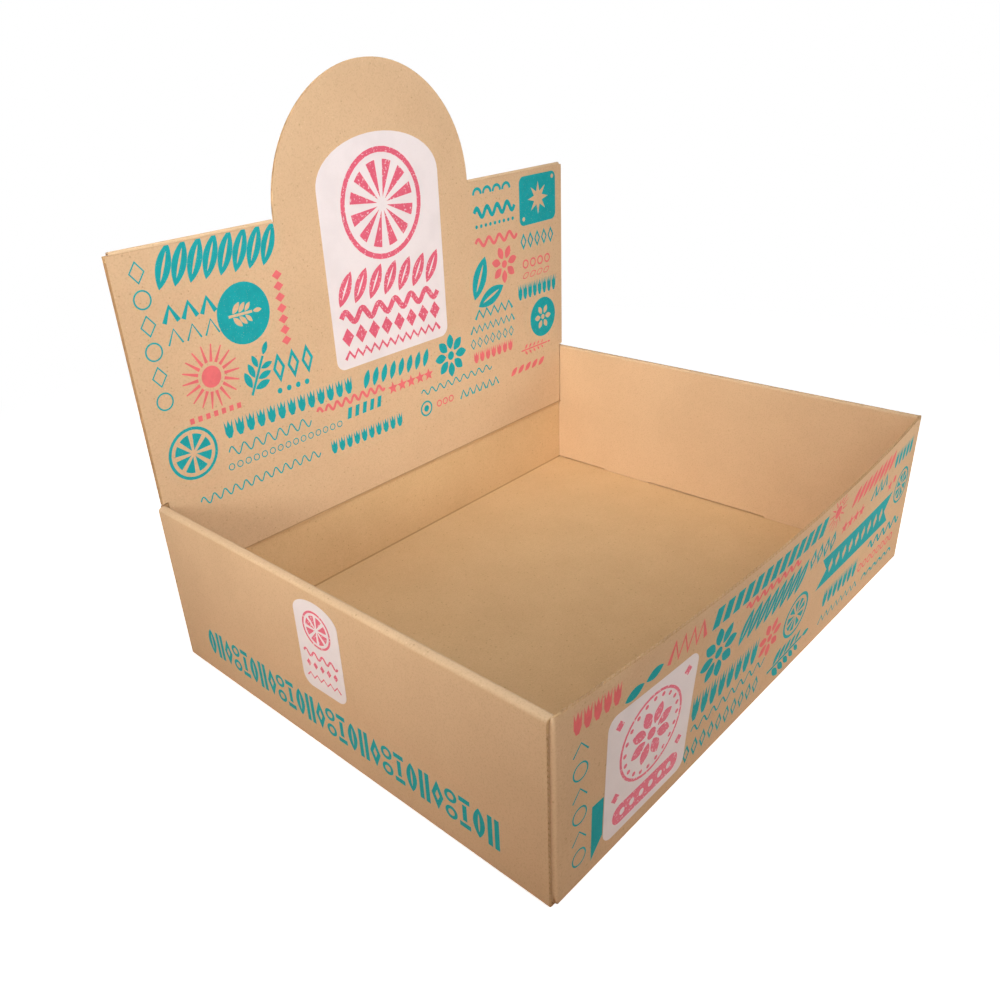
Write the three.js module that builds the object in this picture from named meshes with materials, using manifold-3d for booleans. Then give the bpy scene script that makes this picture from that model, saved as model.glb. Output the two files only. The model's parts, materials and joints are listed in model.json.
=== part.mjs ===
// Counter display box: a tray folded from one corrugated sheet, with a lid that is
// creased across its middle and doubled back on itself to stand as a header.
// Millimetres, +Z up, +X right along the header, +Y to the back.
// The lid stands open, with its tuck flap slid down inside the back wall.

import * as THREE from 'three';
import { mergeVertices } from 'three/addons/utils/BufferGeometryUtils.js';
import Module from 'manifold-3d';

const wasm = await Module();
wasm.setup();

// Overall size of the tray
const trayWidth = 400;
const trayDepth = 305;
const rimHeight = 109.5;

// The board and how it bends
const board = 1.6;
const bendRadius = 1.2;
const bendSteps = 3;

// Side walls: rolled over into a double wall with a narrow top strip
const rollWidth = 5.8;
const stripRise = 0.6;
const innerPanelGap = 1;
const lockTabWidth = 45;
const lockTabOffset = 76;
const slotClearance = 0.4;
const tabFootGap = 0.3;

// Front and back walls, with the corner flaps that go inside the rolled walls
const cornerFlapLength = 110;
const cornerClearance = 0.5;
const wallEndClearance = 0.4;
const creaseUpstand = 8;
const bowSpans = 24;
const bowRows = 16;

// The front wall bulges outwards, most at the middle of its top edge
const frontBow = 9;
const bowPower = 1.3;

// Lid: rear half, header and tuck flap. Laid flat, the two halves reach from the back wall
// to the tuck flap, which then hangs just inside the front wall.
const lidSideMargin = 3.2;
const tuckDepth = 53.3;
const tuckFrontClearance = 3;
const tuckCreaseRise = 1;
const tuckSideClearance = 1;
const tuckCornerRadius = 3;
const rimClearance = 0.5;
const foldGap = 0.3;
const archRadius = 86;
const archClearance = 1;
const archSpans = 48;

// Paper labels
const labelThickness = 0.12;
const labelGap = 0.12;
const headerLabelWidth = 108;
const headerLabelBottom = 44;
const headerLabelShoulder = 162;
const headerLabelCrown = 30;
const headerLabelShift = 2;
const sideLabelWidth = 36;
const sideLabelBottom = 44;
const sideLabelShoulder = 92;
const sideLabelCrown = 10;
const frontLabelWidth = 70;
const frontLabelHeight = 76;
const frontLabelBottom = 10;
const frontLabelInset = 37;
const labelCornerRadius = 7;

// Places that follow from the sizes
const wallTop = rimHeight - rimClearance;
const sideTop = wallTop - stripRise;
const outerPanelX = trayWidth / 2 - board / 2;
const innerPanelX = trayWidth / 2 - rollWidth + board / 2;
const innerFaceX = trayWidth / 2 - rollWidth;
const cornerFlapX = trayWidth / 2 - board - cornerClearance - board / 2;
const wallY = trayDepth / 2 - board / 2;
const innerWallY = trayDepth / 2 - board;
const sideWallLength = trayDepth - 2 * (board + wallEndClearance);
const foldOuterRadius = bendRadius + board / 2;
const wallFoot = board + bendRadius;
const lidHalfWidth = trayWidth / 2 - lidSideMargin;
const lidReach = 2 * innerWallY - board - tuckFrontClearance;
const creaseHeight = rimHeight + (lidReach + tuckCreaseRise) / 2;
const tuckCreaseHeight = rimHeight + tuckCreaseRise;
const headerBackY = innerWallY - foldGap;
const headerFrontY = headerBackY - board;

const frontLabelLeft = -trayWidth / 2 + frontLabelInset;
const frontLabelRight = frontLabelLeft + frontLabelWidth;

const kraft = new THREE.MeshStandardMaterial({ color: 0xc99d6f, roughness: 0.9, metalness: 0 });
const whitePaper = new THREE.MeshStandardMaterial({ color: 0xe8dfe4, roughness: 0.6, metalness: 0 });

// Solids and booleans

function toSolid(geometry) {
  const bare = geometry.clone();
  bare.deleteAttribute('normal');
  bare.deleteAttribute('uv');
  const merged = mergeVertices(bare, 1e-4);
  const vertProperties = new Float32Array(merged.attributes.position.array);
  const triVerts = new Uint32Array(merged.index.array);
  return new wasm.Manifold(new wasm.Mesh({ numProp: 3, vertProperties, triVerts }));
}

function toGeometry(solid) {
  const mesh = solid.getMesh();
  const geometry = new THREE.BufferGeometry();
  geometry.setAttribute('position', new THREE.BufferAttribute(mesh.vertProperties, 3));
  geometry.setIndex(new THREE.BufferAttribute(mesh.triVerts, 1));
  geometry.computeVertexNormals();
  return geometry;
}

function block(x0, x1, y0, y1, z0, z1) {
  const geometry = new THREE.BoxGeometry(x1 - x0, y1 - y0, z1 - z0);
  geometry.translate((x0 + x1) / 2, (y0 + y1) / 2, (z0 + z1) / 2);
  return geometry;
}

// Folded board, drawn as the outline on both sides of a centre line that bends at its corners.
// Each straight stretch is split into the given number of spans.
function boardSection(corners, spans) {
  const line = corners.map(([u, v]) => new THREE.Vector2(u, v));
  const directions = line.slice(1).map((point, i) => point.clone().sub(line[i]).normalize());
  const left = [];
  const right = [];
  const add = (point, direction) => {
    const normal = new THREE.Vector2(-direction.y, direction.x);
    left.push(point.clone().addScaledVector(normal, board / 2));
    right.push(point.clone().addScaledVector(normal, -board / 2));
  };
  let start = line[0];
  add(start, directions[0]);
  for (let i = 1; i < line.length; i += 1) {
    const from = directions[i - 1];
    const to = directions[i] ?? from;
    const turn = Math.acos(THREE.MathUtils.clamp(from.dot(to), -1, 1));
    const end = line[i].clone().addScaledVector(from, -bendRadius * Math.tan(turn / 2));
    for (let k = 1; k <= spans[i - 1]; k += 1) {
      add(start.clone().lerp(end, k / spans[i - 1]), from);
    }
    start = end;
    if (i < line.length - 1) {
      const side = Math.sign(from.cross(to));
      const inwards = new THREE.Vector2(-from.y, from.x).multiplyScalar(side * bendRadius);
      const centre = end.clone().add(inwards);
      for (let k = 1; k <= bendSteps; k += 1) {
        const angle = (side * turn * k) / bendSteps;
        start = end.clone().rotateAround(centre, angle);
        add(start, from.clone().rotateAround(new THREE.Vector2(), angle));
      }
    }
  }
  return new THREE.Shape([...left, ...right.reverse()]);
}

// Extrusions: a section in plan, one seen from the front and one seen from the side

function extrudeUp(shape, z0, z1, steps) {
  const geometry = new THREE.ExtrudeGeometry(shape, { depth: z1 - z0, steps, bevelEnabled: false });
  geometry.translate(0, 0, z0);
  return geometry;
}

function extrudeBack(shape, y0, y1) {
  const geometry = new THREE.ExtrudeGeometry(shape, { depth: y1 - y0, bevelEnabled: false, curveSegments: 12 });
  geometry.rotateX(Math.PI / 2);
  geometry.translate(0, y1, 0);
  return geometry;
}

function extrudeAcross(shape, x0, x1) {
  const geometry = new THREE.ExtrudeGeometry(shape, { depth: x1 - x0, bevelEnabled: false });
  const basis = new THREE.Matrix4();
  basis.makeBasis(new THREE.Vector3(0, 1, 0), new THREE.Vector3(0, 0, 1), new THREE.Vector3(1, 0, 0));
  geometry.applyMatrix4(basis);
  geometry.translate(x0, 0, 0);
  return geometry;
}

// How far the front wall bulges forward at a place on it
function bowAt(x, z) {
  const across = Math.max(0, 1 - (x / cornerFlapX) ** 2);
  const up = Math.max(0, (z - creaseUpstand) / (wallTop - creaseUpstand));
  return frontBow * across * up ** bowPower;
}

// Moves what lies in front of a place forward by the bow; drawnBow is the bow it was drawn with
function bowForward(geometry, frontOf, drawnBow) {
  const position = geometry.attributes.position;
  for (let i = 0; i < position.count; i += 1) {
    const x = position.getX(i);
    const y = position.getY(i);
    if (y < frontOf) {
      position.setY(i, y + drawnBow(x) - bowAt(x, position.getZ(i)));
    }
  }
  return geometry;
}

// Tray

// Base, outer panels, sloping top strips and inner panels are one ribbon of board seen from the front
function rolledWalls() {
  const half = [
    [innerPanelX, board + innerPanelGap],
    [innerPanelX, wallTop - board / 2],
    [outerPanelX, sideTop - board / 2],
    [outerPanelX, board / 2],
  ];
  const corners = [...half.map(([x, z]) => [-x, z]), ...half.reverse()];
  const shape = boardSection(corners, corners.slice(1).map(() => 1));
  return toSolid(extrudeBack(shape, -sideWallLength / 2, sideWallLength / 2));
}

// The creases that turn the base up into the front and back walls
function endCreases() {
  const points = [
    [-wallY, creaseUpstand],
    [-wallY, board / 2],
    [wallY, board / 2],
    [wallY, creaseUpstand],
  ];
  const halfLength = cornerFlapX + board / 2 - foldOuterRadius;
  return toSolid(extrudeAcross(boardSection(points, [1, 1, 1]), -halfLength, halfLength));
}

// A front or back wall with its two corner flaps, seen in plan; side is -1 in front and 1 behind.
// The front wall is drawn with the bow of its top edge, so that its rim is divided along the curve.
function endWall(side) {
  const flapEnd = side * (trayDepth / 2 - cornerFlapLength);
  const points = [
    [-cornerFlapX, flapEnd],
    [-cornerFlapX, side * wallY],
    [cornerFlapX, side * wallY],
    [cornerFlapX, flapEnd],
  ];
  const section = boardSection(points, [1, bowSpans, 1]);
  if (side > 0) {
    return extrudeUp(section, wallFoot, wallTop, bowRows);
  }
  const frontOf = -innerWallY + board / 4;
  const rimBow = (x) => bowAt(x, wallTop);
  const outline = section.getPoints().map(({ x, y }) => {
    return new THREE.Vector2(x, y < frontOf ? y - rimBow(x) : y);
  });
  return bowForward(extrudeUp(new THREE.Shape(outline), wallFoot, wallTop, bowRows), frontOf, rimBow);
}

// The corner flaps stop below the top strips
function flapNotch(side, end) {
  const flapTop = sideTop - board - cornerClearance;
  const innerLimit = end * (sideWallLength / 2 + wallEndClearance / 2);
  const outerLimit = end * (trayDepth / 2 - cornerFlapLength - 1);
  const xs = [side * (innerFaceX - 1), (side * trayWidth) / 2].sort((a, b) => a - b);
  const ys = [innerLimit, outerLimit].sort((a, b) => a - b);
  return toSolid(block(xs[0], xs[1], ys[0], ys[1], flapTop, rimHeight));
}

function lockTab(side, end) {
  const xs = [side * innerFaceX, side * (innerFaceX + board)].sort((a, b) => a - b);
  const y = end * lockTabOffset;
  const top = board + innerPanelGap + board;
  return toSolid(block(xs[0], xs[1], y - lockTabWidth / 2, y + lockTabWidth / 2, tabFootGap, top));
}

function lockSlot(side, end) {
  const near = innerFaceX - slotClearance;
  const far = innerFaceX + board + slotClearance;
  const xs = [side * near, side * far].sort((a, b) => a - b);
  const y = end * lockTabOffset;
  const reach = lockTabWidth / 2 + slotClearance;
  return toSolid(block(xs[0], xs[1], y - reach, y + reach, -1, board + innerPanelGap / 2));
}

function trayGeometry() {
  let walls = toSolid(endWall(1)).add(toSolid(endWall(-1)));
  let tray = rolledWalls().add(endCreases());
  for (const side of [-1, 1]) {
    for (const end of [-1, 1]) {
      walls = walls.subtract(flapNotch(side, end));
      tray = tray.subtract(lockSlot(side, end)).add(lockTab(side, end));
    }
  }
  return toGeometry(tray.add(walls));
}

// Lid

function arcPoints(radius, from, to) {
  const points = [];
  for (let i = 0; i <= archSpans; i += 1) {
    const angle = from + ((to - from) * i) / archSpans;
    points.push([radius * Math.cos(angle), creaseHeight + radius * Math.sin(angle)]);
  }
  return points;
}

function panel(points, y0, y1) {
  const shape = new THREE.Shape(points.map(([x, z]) => new THREE.Vector2(x, z)));
  return extrudeBack(shape, y0, y1);
}

// Rear half of the lid, with the window that the arch was cut from
function lidPanelGeometry() {
  const half = lidHalfWidth;
  const bottom = rimHeight + foldGap / 2;
  const top = creaseHeight - foldGap / 2;
  const radius = archRadius + archClearance;
  const dip = Math.asin(foldGap / 2 / radius);
  const window = arcPoints(radius, -dip, -Math.PI + dip);
  const points = [[-half, bottom], [half, bottom], [half, top], ...window, [-half, top]];
  return panel(points, innerWallY, innerWallY + board);
}

// Front half of the lid: the header, with the arch standing above its shoulders
function headerPanelGeometry() {
  const half = lidHalfWidth;
  const bottom = tuckCreaseHeight + foldGap / 2;
  const shoulder = creaseHeight - foldGap / 2;
  const arch = arcPoints(archRadius, 0, Math.PI);
  const points = [
    [-half, bottom],
    [half, bottom],
    [half, shoulder],
    [archRadius, shoulder],
    ...arch,
    [-archRadius, shoulder],
    [-half, shoulder],
  ];
  return panel(points, headerFrontY, headerBackY);
}

function roundedRectangle(x0, x1, z0, z1, lower, upper) {
  const shape = new THREE.Shape();
  shape.moveTo(x0 + lower, z0);
  shape.lineTo(x1 - lower, z0);
  shape.absarc(x1 - lower, z0 + lower, lower, -Math.PI / 2, 0, false);
  if (upper > 0) {
    shape.lineTo(x1, z1 - upper);
    shape.absarc(x1 - upper, z1 - upper, upper, 0, Math.PI / 2, false);
    shape.lineTo(x0 + upper, z1);
    shape.absarc(x0 + upper, z1 - upper, upper, Math.PI / 2, Math.PI, false);
  } else {
    shape.lineTo(x1, z1);
    shape.lineTo(x0, z1);
  }
  shape.lineTo(x0, z0 + lower);
  shape.absarc(x0 + lower, z0 + lower, lower, Math.PI, 1.5 * Math.PI, false);
  return shape;
}

function tuckFlapGeometry() {
  const half = innerFaceX - tuckSideClearance;
  const top = tuckCreaseHeight - foldGap / 2;
  const bottom = tuckCreaseHeight - tuckDepth;
  const shape = roundedRectangle(-half, half, bottom, top, tuckCornerRadius, 0);
  return extrudeBack(shape, headerFrontY, headerBackY);
}

// Labels

// An upright label with a rounded foot and a low domed top
function domedShape(centre, width, bottom, shoulder, crown) {
  const shape = new THREE.Shape();
  const half = width / 2;
  const foot = Math.min(labelCornerRadius, half / 2);
  shape.moveTo(centre - half + foot, bottom);
  shape.lineTo(centre + half - foot, bottom);
  shape.absarc(centre + half - foot, bottom + foot, foot, -Math.PI / 2, 0, false);
  shape.lineTo(centre + half, shoulder);
  shape.absellipse(centre, shoulder, half, crown, 0, Math.PI, false, 0);
  shape.lineTo(centre - half, bottom + foot);
  shape.absarc(centre - half + foot, bottom + foot, foot, Math.PI, 1.5 * Math.PI, false);
  return shape;
}

function headerLabelGeometry() {
  const bottom = rimHeight + headerLabelBottom;
  const shoulder = rimHeight + headerLabelShoulder;
  const shape = domedShape(headerLabelShift, headerLabelWidth, bottom, shoulder, headerLabelCrown);
  const back = headerFrontY - labelGap;
  return extrudeBack(shape, back - labelThickness, back);
}

function sideLabelGeometry() {
  const shape = domedShape(0, sideLabelWidth, sideLabelBottom, sideLabelShoulder, sideLabelCrown);
  const near = -trayWidth / 2 - labelGap;
  return extrudeAcross(shape, near - labelThickness, near);
}

// The front label follows the bulge of the wall, so it is cut from a finely divided slab
function frontLabelGeometry() {
  const centre = (frontLabelLeft + frontLabelRight) / 2;
  const front = -trayDepth / 2 - labelGap;
  const spans = Math.round(bowSpans / 2);
  const slab = new THREE.BoxGeometry(frontLabelWidth, labelThickness, frontLabelHeight, spans, 1, spans);
  slab.translate(centre, front - labelThickness / 2, frontLabelBottom + frontLabelHeight / 2);
  const top = frontLabelBottom + frontLabelHeight;
  const corner = labelCornerRadius;
  const outline = roundedRectangle(frontLabelLeft, frontLabelRight, frontLabelBottom, top, corner, corner);
  const cutter = toSolid(extrudeBack(outline, front - frontBow - 1, front + 1));
  return toGeometry(toSolid(bowForward(slab, 0, () => 0)).intersect(cutter));
}

// The box, set so that the frame's origin is under the middle of its outer size

const group = new THREE.Group();
group.position.y = frontBow / 2;

function addPiece(name, geometry, material) {
  const mesh = new THREE.Mesh(geometry, material);
  mesh.name = name;
  group.add(mesh);
}

addPiece('tray', trayGeometry(), kraft);
addPiece('lid_panel', lidPanelGeometry(), kraft);
addPiece('header_panel', headerPanelGeometry(), kraft);
addPiece('tuck_flap', tuckFlapGeometry(), kraft);
addPiece('header_label', headerLabelGeometry(), whitePaper);
addPiece('side_label', sideLabelGeometry(), whitePaper);
addPiece('front_label', frontLabelGeometry(), whitePaper);

export default group;
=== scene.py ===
import json
import math

import bmesh
import bpy
from mathutils import Matrix, Vector
from mathutils.geometry import tessellate_polygon


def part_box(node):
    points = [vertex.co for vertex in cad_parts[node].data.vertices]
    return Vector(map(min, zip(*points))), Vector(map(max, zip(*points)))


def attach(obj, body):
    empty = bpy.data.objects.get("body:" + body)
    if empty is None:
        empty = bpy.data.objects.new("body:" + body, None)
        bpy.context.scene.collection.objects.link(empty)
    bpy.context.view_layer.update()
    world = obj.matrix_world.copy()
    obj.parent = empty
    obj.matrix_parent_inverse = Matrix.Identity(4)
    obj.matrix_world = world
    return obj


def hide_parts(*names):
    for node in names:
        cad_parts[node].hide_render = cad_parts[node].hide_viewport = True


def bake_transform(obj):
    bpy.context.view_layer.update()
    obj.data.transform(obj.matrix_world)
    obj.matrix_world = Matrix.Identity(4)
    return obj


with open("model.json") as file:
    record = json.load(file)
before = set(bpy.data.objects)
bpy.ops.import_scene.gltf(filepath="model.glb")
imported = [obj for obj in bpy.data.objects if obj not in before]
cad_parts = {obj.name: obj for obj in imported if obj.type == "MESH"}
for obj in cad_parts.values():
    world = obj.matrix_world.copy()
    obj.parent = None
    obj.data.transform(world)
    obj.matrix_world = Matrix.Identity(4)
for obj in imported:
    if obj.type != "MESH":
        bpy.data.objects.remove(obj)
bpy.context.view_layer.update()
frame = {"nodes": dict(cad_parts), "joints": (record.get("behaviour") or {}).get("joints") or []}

bl_info = {
    "name": "Counter display box finish",
    "version": (1, 0, 0),
    "blender": (4, 5, 0),
    "location": "View3D > Sidebar > Display box",
    "description": "Dresses a kraft corrugated display box: open flutes, folds, labels and flexo print",
    "category": "Object",
}

MM = 0.001
PHOTO_SIZE = 1000
WHITE = (1, 1, 1, 1)

# Bends of less than this angle are shaded smooth
SHARP_ANGLE = math.radians(38)

# How far a cutter stands out past the edge that it opens
LEAD = 1 * MM

# Sizes that the frame gives
JOINT = {joint["name"]: Vector(joint["pos_m"]) for joint in frame["joints"]}
TRAY_LOW, TRAY_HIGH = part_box("tray")
HEADER_LOW, HEADER_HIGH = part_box("header_panel")
LID_LOW, LID_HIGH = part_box("lid_panel")
TUCK_LOW, TUCK_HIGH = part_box("tuck_flap")
BOARD = HEADER_HIGH.y - HEADER_LOW.y
CREASE_Z = JOINT["header_fold"].z
ARCH_RADIUS = HEADER_HIGH.z - CREASE_Z
WALL_TOP = TRAY_HIGH.z

# The front wall's outward bulge, as the solid has it
FRONT_BOW = 9 * MM
BOW_POWER = 1.3
BOW_FOOT = 8 * MM
BOW_HALF = TRAY_HIGH.x - 2.9 * MM
FRONT_Y = TRAY_LOW.y + FRONT_BOW
MIDDLE_Y = (FRONT_Y + TRAY_HIGH.y) / 2
SIDE_END = (TRAY_HIGH.y - FRONT_Y) / 2 - 2 * MM

# Depth of a rolled side wall from its outer face to its inner face
ROLLED_WALL = 5.8 * MM

# Print on the bulging wall is divided into cells of this size, so that it follows the wall
BOW_CELL = 8 * MM


# Settings that a user would change

def length_setting(name, description, default, least):
    """A length, given in millimetres."""
    return bpy.props.FloatProperty(name=name, description=description, default=default * MM,
                                   min=least * MM, unit="LENGTH")


def power_setting(name, description, default):
    """A light's power in watts."""
    return bpy.props.FloatProperty(name=name, description=description, default=default, min=0, unit="POWER")


def colour_setting(name, description, default):
    """A colour as sRGB hex."""
    return bpy.props.StringProperty(name=name, description=description + ", as sRGB hex", default=default)


class BoardSettings(bpy.types.PropertyGroup):
    flute_pitch: length_setting("Flute pitch", "Distance from one flute to the next", 3.3, 1)
    flute_depth: length_setting("Open depth", "How deep a cut edge shows its open flutes", 4, 1)
    liner: length_setting("Liner", "Thickness of the board's flat papers", 0.24, 0.1)
    outer_colour: colour_setting("Outer liner", "Colour of the printed face", "#DABB97")
    inner_colour: colour_setting("Inner liner", "Colour of the inside face", "#DDBC8F")
    edge_colour: colour_setting("Cut edge", "Colour of the cut board", "#CDA97E")


class PrintSettings(bpy.types.PropertyGroup):
    ink_height: length_setting("Ink height", "How far print stands on the paper", 0.04, 0.01)
    teal: colour_setting("Teal ink", "Colour of the main ink", "#15A6AE")
    coral: colour_setting("Coral ink", "Colour of the second ink", "#E9747A")


class LabelSettings(bpy.types.PropertyGroup):
    paper: colour_setting("Paper", "Colour of the label paper", "#ECE6EA")
    pink: colour_setting("Pink", "Colour of the label's print", "#DF5F7B")


class StageSettings(bpy.types.PropertyGroup):
    front: power_setting("Front light", "Power of the large soft light high in front", 4.5)
    back_left: power_setting("Back left light", "Power of the soft light behind on the left", 1.2)
    front_left: power_setting("Front left light", "Power of the soft light in front on the left", 2.0)
    above: power_setting("Light above", "Power of the small soft light over the tray", 0.9)
    left_beam: power_setting("Left beam", "Power of the narrow light from the left on the header", 0.56)
    front_beam: power_setting("Front beam", "Power of the narrow light from the front on the header", 0.13)
    right_beam: power_setting("Right beam", "Power of the narrow light on the front wall's right end", 0.16)
    behind: power_setting("Light behind", "Power of the soft light that shows the box's back", 5.0)
    ambient: bpy.props.FloatProperty(
        name="Ambient", description="Strength of the even light all round", default=0.05, min=0)


# Small helpers

def linear(hex_colour):
    """An sRGB hex colour as linear RGBA."""
    channels = [int(hex_colour[i:i + 2], 16) / 255 for i in (1, 3, 5)]
    bent = [c / 12.92 if c <= 0.04045 else ((c + 0.055) / 1.055) ** 2.4 for c in channels]
    return (*bent, 1.0)


def new_object(name, data):
    obj = bpy.data.objects.new(name, data)
    bpy.context.scene.collection.objects.link(obj)
    return obj


def mesh_from(bm, name):
    mesh = bpy.data.meshes.new(name)
    bm.to_mesh(mesh)
    bm.free()
    return mesh


def object_from(bm, name):
    return new_object(name, mesh_from(bm, name))


def evaluated_mesh(obj, name):
    """The mesh of an object with its modifiers, as a mesh of its own."""
    bpy.context.view_layer.update()
    depsgraph = bpy.context.evaluated_depsgraph_get()
    mesh = bpy.data.meshes.new_from_object(obj.evaluated_get(depsgraph))
    mesh.name = name
    return mesh


def discard(*objects):
    for obj in objects:
        bpy.data.objects.remove(obj)


def smooth_bends(mesh):
    """Shades bends smooth and leaves edges sharp."""
    mesh.shade_smooth()
    mesh.set_sharp_from_angle(angle=SHARP_ANGLE)


def node(tree, kind, inputs=None, **settings):
    """Adds a node with its settings. Each input is a socket to link from, or a value to set."""
    made = tree.nodes.new(kind)
    for name, value in settings.items():
        setattr(made, name, value)
    for key, value in (inputs or {}).items():
        if isinstance(value, bpy.types.NodeSocket):
            tree.links.new(value, made.inputs[key])
        else:
            made.inputs[key].default_value = value
    return made


def maths(tree, operation, *values):
    return node(tree, "ShaderNodeMath", dict(enumerate(values)), operation=operation).outputs[0]


def split(tree, vector):
    return node(tree, "ShaderNodeSeparateXYZ", {"Vector": vector}).outputs


def joined(tree, **axes):
    return node(tree, "ShaderNodeCombineXYZ", axes).outputs[0]


# Materials

def new_material(name):
    """An empty material with its node tree and its Object coordinates."""
    material = bpy.data.materials.new(name)
    material.use_nodes = True
    tree = material.node_tree
    tree.nodes.clear()
    return material, tree, node(tree, "ShaderNodeTexCoord").outputs["Object"]


def surface(tree, colour, height, strength, distance, roughness, specular=0.3):
    """A plain rough surface: colour and bump come from nodes, the rest is set on the shader."""
    bump = node(tree, "ShaderNodeBump", {"Height": height, "Strength": strength, "Distance": distance})
    shader = node(tree, "ShaderNodeBsdfPrincipled",
                  {"Base Color": colour, "Normal": bump.outputs["Normal"], "Roughness": roughness,
                   "Specular IOR Level": specular, "IOR": 1.45})
    node(tree, "ShaderNodeOutputMaterial", {"Surface": shader.outputs["BSDF"]})


def noise(tree, place, size, detail=2):
    """Noise with patches of about one size."""
    return node(tree, "ShaderNodeTexNoise", {"Vector": place, "Scale": 1 / size, "Detail": detail}).outputs[0]


def ramp(tree, factor, low, high):
    """0 below low, 1 above high, smooth between."""
    return node(tree, "ShaderNodeMapRange", {"Value": factor, "From Min": low, "From Max": high},
                interpolation_type="SMOOTHSTEP").outputs["Result"]


def mixed(tree, factor, a, b):
    """One colour mixed into another; each is a socket or an RGBA value."""
    return node(tree, "ShaderNodeMix", {"Factor": factor, 6: a, 7: b}, data_type="RGBA").outputs[2]


def laid(tree, colour, tone, mask, strength):
    """A tone over a colour where the mask is 1; strength is how clearly it shows."""
    return mixed(tree, maths(tree, "MULTIPLY", mask, strength), colour, tone)


def kraft_paper(name, hex_colour, ribs):
    """Uncoated kraftliner: long unbleached fibres pressed flat, so a warm brown sheet with fine
    dark and pale flecks, a cloudy formation and faint ribs where the flutes show through."""
    material, tree, place = new_material(name)
    base = linear(hex_colour)
    dark = tuple(c * k for c, k in zip(base, (0.60, 0.52, 0.44, 1)))
    pale = tuple(min(1, c * k) for c, k in zip(base, (1.13, 1.16, 1.22, 1)))

    # Cloudy formation of the sheet, in large and small patches
    colour = laid(tree, base, dark, ramp(tree, noise(tree, place, 40 * MM), 0.3, 0.7), 0.10)
    colour = laid(tree, colour, pale, ramp(tree, noise(tree, place, 6 * MM, 4), 0.35, 0.7), 0.10)

    # Fibre grain, drawn coarser than it is so that it shows
    fibre = noise(tree, place, 0.9 * MM, 3)
    colour = laid(tree, colour, dark, ramp(tree, fibre, 0.45, 0.75), 0.28)

    # Dark bark flecks and pale fibres, each in a cell of its own size in millimetres
    for cell, reach, share, strength, tone in (
            (3.8, 0.20, 0.50, 0.50, dark), (2.1, 0.19, 0.60, 0.34, dark), (2.8, 0.21, 0.60, 0.60, pale)):
        spots = node(tree, "ShaderNodeTexVoronoi", {"Vector": place, "Scale": 1 / (cell * MM)}).outputs
        near = ramp(tree, spots["Distance"], reach, reach * 0.45)
        picked = node(tree, "ShaderNodeSeparateColor", {"Color": spots["Color"]}).outputs[0]
        chosen = ramp(tree, picked, share, share + 0.2)
        colour = laid(tree, colour, tone, maths(tree, "MULTIPLY", near, chosen), strength)

    height = fibre
    if ribs:
        height = ribbed_height(tree, place, fibre)
        # Painted shade: dark lines in the base creases, and a painted shadow below the tuck flap's lower edge
        colour = laid(tree, colour, dark, painted_shade_lines(tree, place), 0.75)
    surface(tree, colour, height, 0.25, 0.12 * MM, 0.86)
    return material


def painted_shade_lines(tree, place):
    """1 along the two inner creases where the base turns up, and along the tuck flap's lower edge and the
    back wall just below it: painted shade in the creases, and a painted shadow of the flap's edge on the
    wall."""
    axes = split(tree, place)
    centred = maths(tree, "SUBTRACT", axes["Y"], MIDDLE_Y)
    crease_y = (TRAY_HIGH.y - FRONT_Y) / 2 - BOARD
    lines = []
    for across, y, z, reach in (
            (maths(tree, "ABSOLUTE", centred), crease_y, BOARD, 1.25 * MM),
            (centred, TUCK_LOW.y - MIDDLE_Y, TUCK_LOW.z, 1.2 * MM)):
        flat = joined(tree, X=across, Y=axes["Z"])
        distance = node(tree, "ShaderNodeVectorMath", {0: flat, 1: (y, z, 0)}, operation="DISTANCE")
        lines.append(ramp(tree, distance.outputs["Value"], reach, 0.44 * reach))
    return maths(tree, "MAXIMUM", *lines)


def ribbed_height(tree, place, fibre):
    """Fibre grain plus the flutes' faint ribs: they run upright on the end walls and the lid,
    front to back on the base, and along the side walls."""
    axes = split(tree, place)
    facing = split(tree, node(tree, "ShaderNodeTexCoord").outputs["Normal"])
    sideways = ramp(tree, maths(tree, "ABSOLUTE", facing["X"]), 0.4, 0.6)
    along = node(tree, "ShaderNodeMix", {"Factor": sideways, 2: axes["X"], 3: axes["Z"]}).outputs[0]
    turns = maths(tree, "MULTIPLY", along, math.tau / bpy.context.scene.box_board.flute_pitch)
    return maths(tree, "MULTIPLY_ADD", maths(tree, "SINE", turns), 0.10, fibre)


def shaded(base, share):
    return tuple(c * share for c in base[:3]) + (1.0,)


def flexo_ink(name, hex_colour):
    """Water-based flexographic ink soaked into kraft paper: matt, a little uneven, with pinholes
    where the coarse fibres stay bare."""
    material, tree, place = new_material(name)
    base = linear(hex_colour)
    paper = linear(bpy.context.scene.box_board.outer_colour)
    cloud = noise(tree, place, 5 * MM, 3)
    grain = noise(tree, place, 0.7 * MM)
    colour = laid(tree, base, shaded(base, 0.86), ramp(tree, cloud, 0.35, 0.65), 0.6)
    colour = laid(tree, colour, paper, ramp(tree, grain, 0.64, 0.78), 0.35)
    surface(tree, colour, grain, 0.2, 0.08 * MM, 0.8)
    return material


def label_stock(name, hex_colour, roughness, tooth, bare=0.0):
    """Smooth white label paper, or the dry ink on it: nearly even, with a fine tooth. bare is how
    clearly the paper shows through where the ink is worn thin."""
    material, tree, place = new_material(name)
    base = linear(hex_colour)
    shade = shaded(base, 0.93)
    grain = noise(tree, place, 0.5 * MM)
    colour = laid(tree, base, shade, ramp(tree, noise(tree, place, 18 * MM), 0.35, 0.7), 0.7)
    colour = laid(tree, colour, shade, ramp(tree, grain, 0.5, 0.7), tooth)
    if bare > 0:
        paper = linear(bpy.context.scene.box_label.paper)
        worn = ramp(tree, noise(tree, place, 1.5 * MM, 5), 0.585, 0.66)
        colour = laid(tree, colour, paper, worn, bare)
    surface(tree, colour, grain, 0.12, 0.04 * MM, roughness, 0.4)
    return material


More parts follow.
